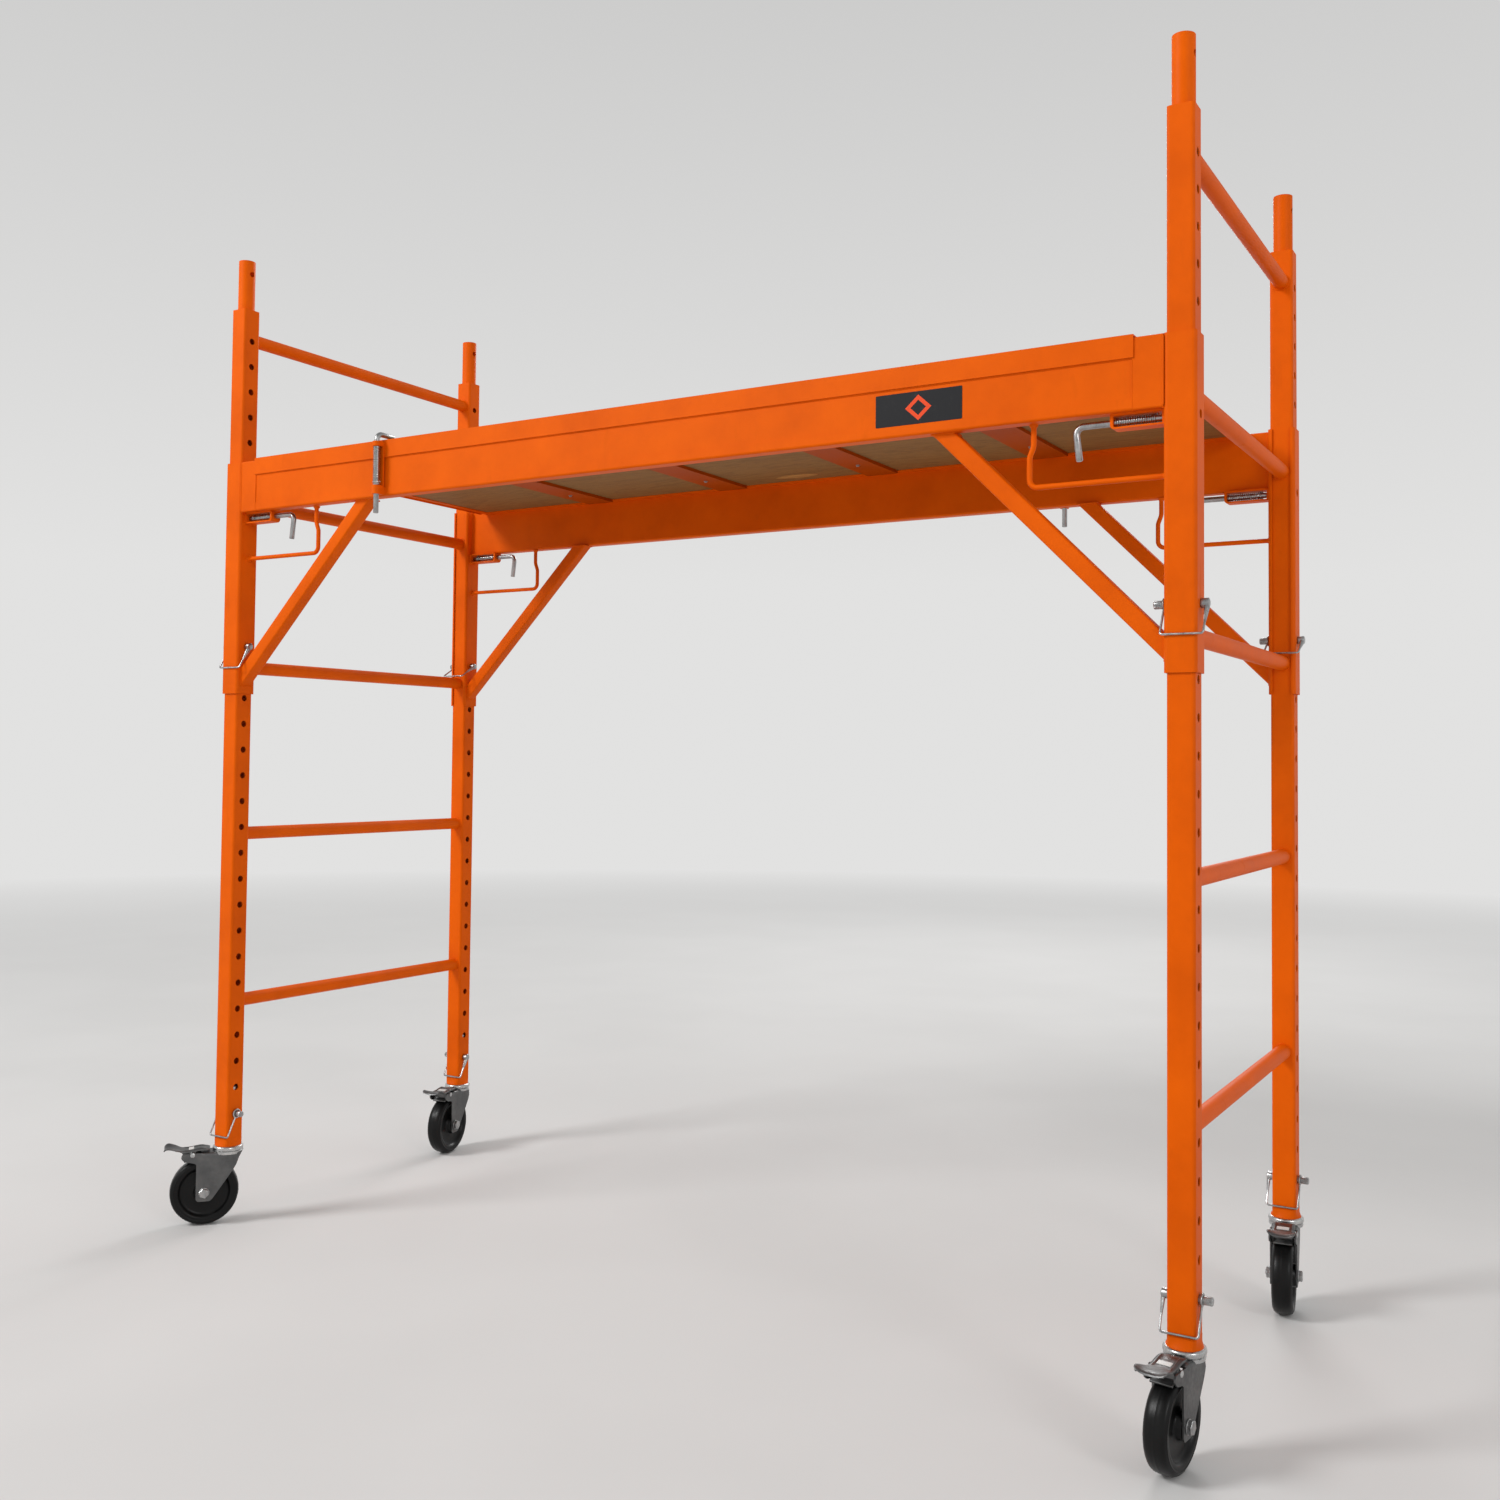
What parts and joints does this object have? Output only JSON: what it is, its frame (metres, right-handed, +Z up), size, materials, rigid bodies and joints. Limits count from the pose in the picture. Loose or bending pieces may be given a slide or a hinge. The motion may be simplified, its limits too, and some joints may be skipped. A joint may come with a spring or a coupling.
{
  "type": "baker scaffold",
  "caption": "Steel baker scaffold: ladder frames on braked swivel casters hold a plywood deck on beams with pinned sleeves at an adjustable height.",
  "frame": {"origin": "centre of the whole footprint, casters included, on the floor", "axes": "+X along the platform, to the right as seen from the labelled side; +Y across it, away from that side; +Z up"},
  "size_m": [1.9895, 0.8203, 1.8985],
  "materials": {
    "orange_paint": "semi-gloss powder coat",
    "zinc_plate": "satin zinc plate",
    "spring_steel": "bright drawn wire",
    "black_tread": "satin moulded",
    "plywood": "bare sanded veneer",
    "label_film": "semi-gloss printed film"
  },
  "bodies": {
    "root": {"near_left_post": "orange_paint", "far_left_post": "orange_paint", "near_right_post": "orange_paint", "far_right_post": "orange_paint", "left_rungs": "orange_paint", "right_rungs": "orange_paint", "spigots": "orange_paint", "caster_stems": "zinc_plate"},
    "platform": {"near_beam": "orange_paint", "far_beam": "orange_paint", "corner_sleeves": "orange_paint", "beam_end_shoes": "orange_paint", "diagonal_braces": "orange_paint", "pin_brackets": "orange_paint", "guard_rods": "orange_paint", "deck_panel": "plywood", "deck_side_rails": "orange_paint", "deck_end_rails": "orange_paint", "deck_ribs": "orange_paint", "deck_screws": "zinc_plate", "deck_label": "label_film", "hook_brackets": "orange_paint", "near_left_pin_spring": "spring_steel", "far_left_pin_spring": "spring_steel", "near_right_pin_spring": "spring_steel", "far_right_pin_spring": "spring_steel", "near_hook_spring": "spring_steel", "far_hook_spring": "spring_steel"},
    "near_left_spring_pin": {"near_left_spring_pin": "zinc_plate"},
    "far_left_spring_pin": {"far_left_spring_pin": "zinc_plate"},
    "near_right_spring_pin": {"near_right_spring_pin": "zinc_plate"},
    "far_right_spring_pin": {"far_right_spring_pin": "zinc_plate"},
    "near_hook_lift": {"near_hook_washer": "zinc_plate"},
    "near_deck_hook": {"near_deck_hook": "zinc_plate"},
    "far_hook_lift": {"far_hook_washer": "zinc_plate"},
    "far_deck_hook": {"far_deck_hook": "zinc_plate"},
    "near_left_sleeve_lock_pin": {"near_left_sleeve_lock_pin": "zinc_plate"},
    "near_left_caster_lock_pin": {"near_left_caster_lock_pin": "zinc_plate"},
    "far_left_sleeve_lock_pin": {"far_left_sleeve_lock_pin": "zinc_plate"},
    "far_left_caster_lock_pin": {"far_left_caster_lock_pin": "zinc_plate"},
    "near_right_sleeve_lock_pin": {"near_right_sleeve_lock_pin": "zinc_plate"},
    "near_right_caster_lock_pin": {"near_right_caster_lock_pin": "zinc_plate"},
    "far_right_sleeve_lock_pin": {"far_right_sleeve_lock_pin": "zinc_plate"},
    "far_right_caster_lock_pin": {"far_right_caster_lock_pin": "zinc_plate"},
    "near_left_swivel": {"near_left_caster_fork": "zinc_plate", "near_left_caster_axle": "zinc_plate"},
    "near_left_wheel": {"near_left_caster_wheel": "black_tread"},
    "near_left_pedal": {"near_left_brake_pedal": "zinc_plate"},
    "far_left_swivel": {"far_left_caster_fork": "zinc_plate", "far_left_caster_axle": "zinc_plate"},
    "far_left_wheel": {"far_left_caster_wheel": "black_tread"},
    "far_left_pedal": {"far_left_brake_pedal": "zinc_plate"},
    "near_right_swivel": {"near_right_caster_fork": "zinc_plate", "near_right_caster_axle": "zinc_plate"},
    "near_right_wheel": {"near_right_caster_wheel": "black_tread"},
    "near_right_pedal": {"near_right_brake_pedal": "zinc_plate"},
    "far_right_swivel": {"far_right_caster_fork": "zinc_plate", "far_right_caster_axle": "zinc_plate"},
    "far_right_wheel": {"far_right_caster_wheel": "black_tread"},
    "far_right_pedal": {"far_right_brake_pedal": "zinc_plate"}
  },
  "joints": [
    {"name": "deck_height", "type": "slide", "parent": "root", "child": "platform", "axis": [0, 0, 1], "range_m": [-0.7112, 0.2032]},
    {"name": "near_left_pin_pull", "type": "slide", "parent": "platform", "child": "near_left_spring_pin", "axis": [1, 0, 0], "range_m": [0, 0.0295], "stiffness_N_per_m": 600, "springref_m": -0.01, "deforming": ["near_left_pin_spring"]},
    {"name": "far_left_pin_pull", "type": "slide", "parent": "platform", "child": "far_left_spring_pin", "axis": [1, 0, 0], "range_m": [0, 0.0295], "stiffness_N_per_m": 600, "springref_m": -0.01, "deforming": ["far_left_pin_spring"]},
    {"name": "near_right_pin_pull", "type": "slide", "parent": "platform", "child": "near_right_spring_pin", "axis": [-1, 0, 0], "range_m": [0, 0.0295], "stiffness_N_per_m": 600, "springref_m": -0.01, "deforming": ["near_right_pin_spring"]},
    {"name": "far_right_pin_pull", "type": "slide", "parent": "platform", "child": "far_right_spring_pin", "axis": [-1, 0, 0], "range_m": [0, 0.0295], "stiffness_N_per_m": 600, "springref_m": -0.01, "deforming": ["far_right_pin_spring"]},
    {"name": "near_hook_pull", "type": "slide", "parent": "platform", "child": "near_hook_lift", "axis": [0, 0, 1], "range_m": [0, 0.03], "stiffness_N_per_m": 500, "springref_m": -0.012, "deforming": ["near_hook_spring"]},
    {"name": "near_hook_turn", "type": "hinge", "parent": "near_hook_lift", "child": "near_deck_hook", "pos_m": [-0.498, -0.32445, 1.413], "axis": [0, 0, 1], "range_deg": [0, 180]},
    {"name": "far_hook_pull", "type": "slide", "parent": "platform", "child": "far_hook_lift", "axis": [0, 0, 1], "range_m": [0, 0.03], "stiffness_N_per_m": 500, "springref_m": -0.012, "deforming": ["far_hook_spring"]},
    {"name": "far_hook_turn", "type": "hinge", "parent": "far_hook_lift", "child": "far_deck_hook", "pos_m": [0.556, 0.40445, 1.413], "axis": [0, 0, 1], "range_deg": [0, 180]},
    {"name": "near_left_sleeve_pin_wire", "type": "hinge", "parent": "platform", "child": "near_left_sleeve_lock_pin", "pos_m": [-0.901, -0.289, 1.126], "axis": [-1, 0, 0], "range_deg": [0, 115]},
    {"name": "near_left_caster_pin_wire", "type": "hinge", "parent": "root", "child": "near_left_caster_lock_pin", "pos_m": [-0.901, -0.289, 0.2116], "axis": [-1, 0, 0], "range_deg": [0, 115]},
    {"name": "far_left_sleeve_pin_wire", "type": "hinge", "parent": "platform", "child": "far_left_sleeve_lock_pin", "pos_m": [-0.901, 0.369, 1.126], "axis": [-1, 0, 0], "range_deg": [0, 85]},
    {"name": "far_left_caster_pin_wire", "type": "hinge", "parent": "root", "child": "far_left_caster_lock_pin", "pos_m": [-0.901, 0.369, 0.2116], "axis": [-1, 0, 0], "range_deg": [0, 115]},
    {"name": "near_right_sleeve_pin_wire", "type": "hinge", "parent": "platform", "child": "near_right_sleeve_lock_pin", "pos_m": [0.959, -0.289, 1.126], "axis": [-1, 0, 0], "range_deg": [0, 115]},
    {"name": "near_right_caster_pin_wire", "type": "hinge", "parent": "root", "child": "near_right_caster_lock_pin", "pos_m": [0.959, -0.289, 0.2116], "axis": [-1, 0, 0], "range_deg": [0, 115]},
    {"name": "far_right_sleeve_pin_wire", "type": "hinge", "parent": "platform", "child": "far_right_sleeve_lock_pin", "pos_m": [0.959, 0.369, 1.126], "axis": [-1, 0, 0], "range_deg": [0, 85]},
    {"name": "far_right_caster_pin_wire", "type": "hinge", "parent": "root", "child": "far_right_caster_lock_pin", "pos_m": [0.959, 0.369, 0.2116], "axis": [-1, 0, 0], "range_deg": [0, 115]},
    {"name": "near_left_swivel_turn", "type": "hinge", "parent": "root", "child": "near_left_swivel", "pos_m": [-0.901, -0.289, 0.137], "axis": [0, 0, 1], "continuous": true},
    {"name": "near_left_wheel_roll", "type": "hinge", "parent": "near_left_swivel", "child": "near_left_wheel", "pos_m": [-0.928, -0.32117, 0.0635], "axis": [0.766, -0.6428, 0], "continuous": true},
    {"name": "near_left_pedal_tip", "type": "hinge", "parent": "near_left_swivel", "child": "near_left_pedal", "pos_m": [-0.94214, -0.33803, 0.137], "axis": [0.766, -0.6428, 0], "range_deg": [0, 14]},
    {"name": "far_left_swivel_turn", "type": "hinge", "parent": "root", "child": "far_left_swivel", "pos_m": [-0.901, 0.369, 0.137], "axis": [0, 0, 1], "continuous": true},
    {"name": "far_left_wheel_roll", "type": "hinge", "parent": "far_left_swivel", "child": "far_left_wheel", "pos_m": [-0.89299, 0.32777, 0.0635], "axis": [0.9816, 0.1908, 0], "continuous": true},
    {"name": "far_left_pedal_tip", "type": "hinge", "parent": "far_left_swivel", "child": "far_left_pedal", "pos_m": [-0.88879, 0.30618, 0.137], "axis": [0.9816, 0.1908, 0], "range_deg": [0, 14]},
    {"name": "near_right_swivel_turn", "type": "hinge", "parent": "root", "child": "near_right_swivel", "pos_m": [0.959, -0.289, 0.137], "axis": [0, 0, 1], "continuous": true},
    {"name": "near_right_wheel_roll", "type": "hinge", "parent": "near_right_swivel", "child": "near_right_wheel", "pos_m": [0.95388, -0.33069, 0.0635], "axis": [0.9925, -0.1219, 0], "continuous": true},
    {"name": "near_right_pedal_tip", "type": "hinge", "parent": "near_right_swivel", "child": "near_right_pedal", "pos_m": [0.9512, -0.35252, 0.137], "axis": [0.9925, -0.1219, 0], "range_deg": [0, 14]},
    {"name": "far_right_swivel_turn", "type": "hinge", "parent": "root", "child": "far_right_swivel", "pos_m": [0.959, 0.369, 0.137], "axis": [0, 0, 1], "continuous": true},
    {"name": "far_right_wheel_roll", "type": "hinge", "parent": "far_right_swivel", "child": "far_right_wheel", "pos_m": [0.96412, 0.32731, 0.0635], "axis": [0.9925, 0.1219, 0], "continuous": true},
    {"name": "far_right_pedal_tip", "type": "hinge", "parent": "far_right_swivel", "child": "far_right_pedal", "pos_m": [0.9668, 0.30548, 0.137], "axis": [0.9925, 0.1219, 0], "range_deg": [0, 14]}
  ]
}
